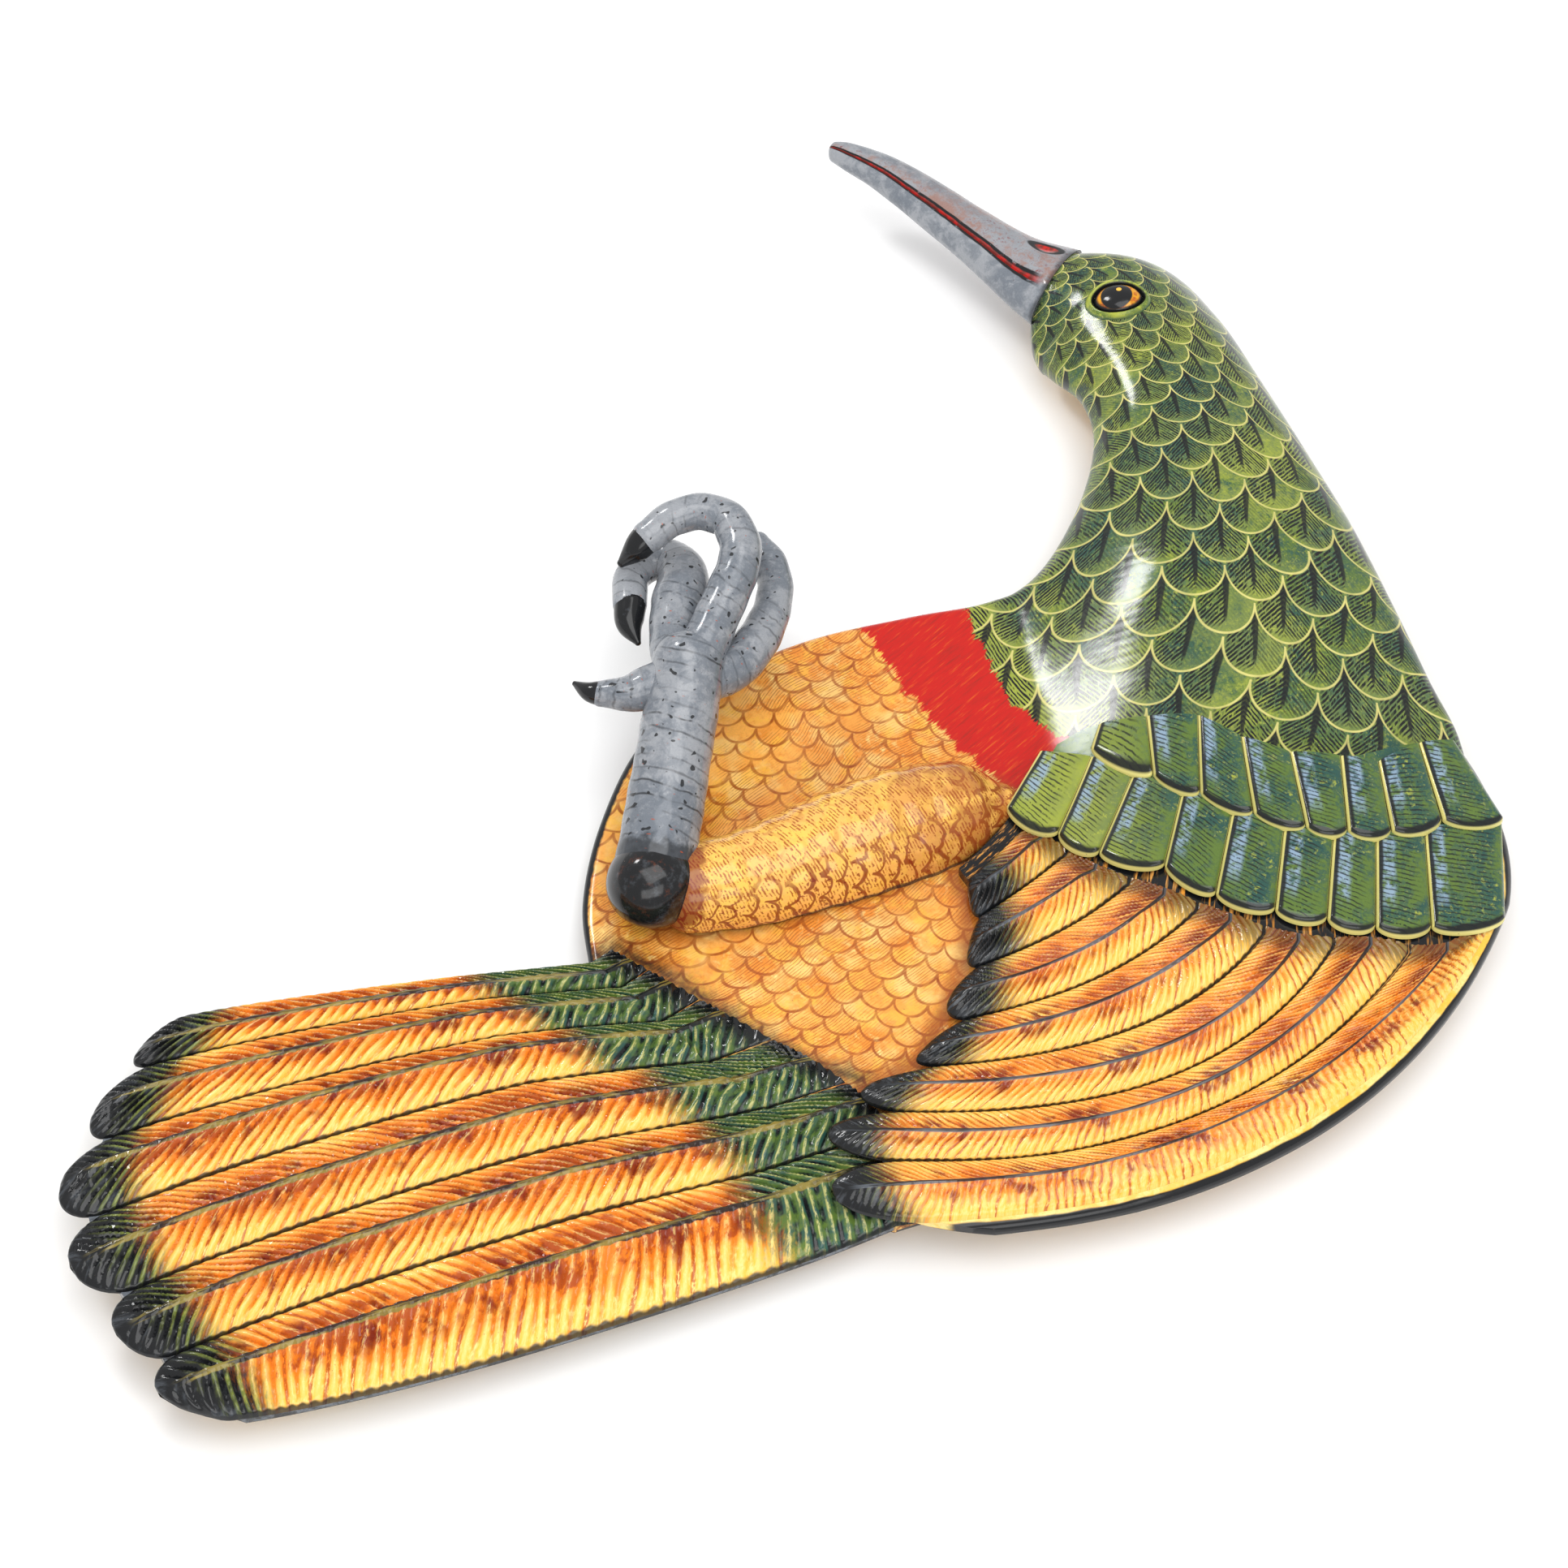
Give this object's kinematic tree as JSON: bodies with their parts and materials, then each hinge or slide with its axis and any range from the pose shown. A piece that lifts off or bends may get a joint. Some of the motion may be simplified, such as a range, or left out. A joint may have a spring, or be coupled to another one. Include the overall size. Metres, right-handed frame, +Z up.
{
  "type": "ceramic bird dish",
  "caption": "Flat glazed ceramic dish in the shape of a bird with a long curved bill, fanned tail, folded wing and a raised bent leg, standing on a round foot ring.",
  "frame": {"origin": "on the table plane under the middle of the plan, where the foot ring stands", "axes": "+Z up out of the dish; +X from the tail tips to the wing rim; +Y from the tail to the bill"},
  "size_m": [0.4753, 0.5257, 0.0747],
  "materials": {
    "belly_glaze": "glossy clear glaze over painted orange-yellow scales and a red band",
    "green_glaze": "glossy clear glaze over painted green and yellow scales",
    "bare_clay": "bare fired earthenware, matt",
    "bill_glaze": "glossy clear glaze over grey and brown paint with a red stripe",
    "eye_glaze": "glossy clear glaze over an amber iris and a black pupil",
    "tail_glaze": "glossy clear glaze over yellow feathers with dark tips",
    "wing_glaze": "glossy clear glaze over yellow feathers with dark tips",
    "covert_glaze": "glossy clear glaze over green and blue feathers",
    "thigh_glaze": "glossy clear glaze over yellow-orange paint with brown marks",
    "knee_glaze": "glossy clear glaze over mottled blue-black paint",
    "leg_glaze": "glossy clear glaze over grey paint with dark rings and specks",
    "claw_glaze": "glossy black glaze"
  },
  "bodies": {
    "root": {"body_sheet": "belly_glaze", "foot_ring": "bare_clay", "neck": "green_glaze", "head": "green_glaze", "bill_upper": "bill_glaze", "bill_lower": "bill_glaze", "eyelid_ring": "green_glaze", "eyeball": "eye_glaze", "tail_sheet": "tail_glaze", "tail_feather_1": "tail_glaze", "tail_feather_2": "tail_glaze", "tail_feather_3": "tail_glaze", "tail_feather_4": "tail_glaze", "tail_feather_5": "tail_glaze", "tail_feather_6": "tail_glaze", "wing_sheet": "wing_glaze", "wing_feather_1": "wing_glaze", "wing_feather_2": "wing_glaze", "wing_feather_3": "wing_glaze", "wing_feather_4": "wing_glaze", "wing_feather_5": "wing_glaze", "wing_feather_6": "wing_glaze", "wing_feather_7": "wing_glaze", "lower_covert_1": "covert_glaze", "lower_covert_2": "covert_glaze", "lower_covert_3": "covert_glaze", "lower_covert_4": "covert_glaze", "lower_covert_5": "covert_glaze", "lower_covert_6": "covert_glaze", "lower_covert_7": "covert_glaze", "lower_covert_8": "covert_glaze", "lower_covert_9": "covert_glaze", "upper_covert_1": "covert_glaze", "upper_covert_2": "covert_glaze", "upper_covert_3": "covert_glaze", "upper_covert_4": "covert_glaze", "upper_covert_5": "covert_glaze", "upper_covert_6": "covert_glaze", "upper_covert_7": "covert_glaze", "upper_covert_8": "covert_glaze", "thigh": "thigh_glaze", "knee": "knee_glaze", "shin": "leg_glaze", "toe_middle": "leg_glaze", "toe_inner": "leg_glaze", "toe_outer": "leg_glaze", "toe_hind": "leg_glaze", "claw_middle": "claw_glaze", "claw_inner": "claw_glaze", "claw_hind": "claw_glaze"}
  },
  "joints": []
}
